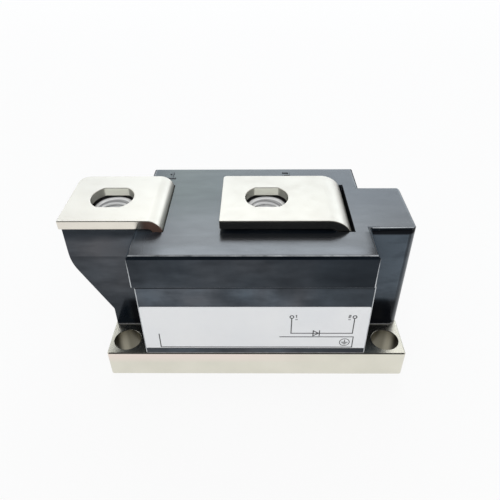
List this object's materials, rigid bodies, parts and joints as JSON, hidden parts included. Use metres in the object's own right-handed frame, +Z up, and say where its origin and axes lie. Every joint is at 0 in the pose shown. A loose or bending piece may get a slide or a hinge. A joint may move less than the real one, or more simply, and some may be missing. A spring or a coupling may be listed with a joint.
{
  "type": "rectifier diode module",
  "caption": "Power diode module: black moulded block with arms on a plated base plate with corner holes, folded plated terminals with captive nuts on top, diode clamped inside.",
  "frame": {"origin": "centre of the base plate's underside, midway between the mounting holes", "axes": "+X along the base plate, away from the overhanging terminal; +Y to the rear, away from the label; +Z up, out of the terminals"},
  "size_m": [0.1037, 0.0506, 0.0519],
  "materials": {
    "plated_copper": "satin nickel plating on copper",
    "plated_terminal": "satin nickel plating on copper",
    "housing_plastic": "black moulded plastic, semi-gloss",
    "nut_steel": "zinc-plated steel",
    "label_foil": "pale printed foil",
    "seal": "cured silicone adhesive",
    "ceramic": "fired ceramic",
    "molybdenum": "ground molybdenum",
    "silicon": "polished silicon",
    "ring_plastic": "moulded silicone rubber",
    "pad_plastic": "glass-filled laminate",
    "spring_steel": "hardened spring steel",
    "clamp_steel": "zinc-plated steel",
    "screw_steel": "blackened steel",
    "sleeve_plastic": "insulating tube",
    "potting_gel": "soft silicone fill"
  },
  "bodies": {
    "root": {"base_plate": "plated_copper", "seal_frame": "seal", "housing": "housing_plastic", "terminal_1": "plated_terminal", "terminal_2": "plated_terminal", "terminal_nut_1": "nut_steel", "terminal_nut_2": "nut_steel", "label": "label_foil", "insulator_plate": "ceramic", "lower_disc": "molybdenum", "diode_chip": "silicon", "chip_ring": "ring_plastic", "upper_disc": "molybdenum", "pressure_pad": "pad_plastic", "disc_springs": "spring_steel", "clamp_bridge": "clamp_steel", "clamp_screws": "screw_steel", "screw_washers": "clamp_steel", "screw_sleeves": "sleeve_plastic", "potting": "potting_gel"}
  },
  "joints": []
}
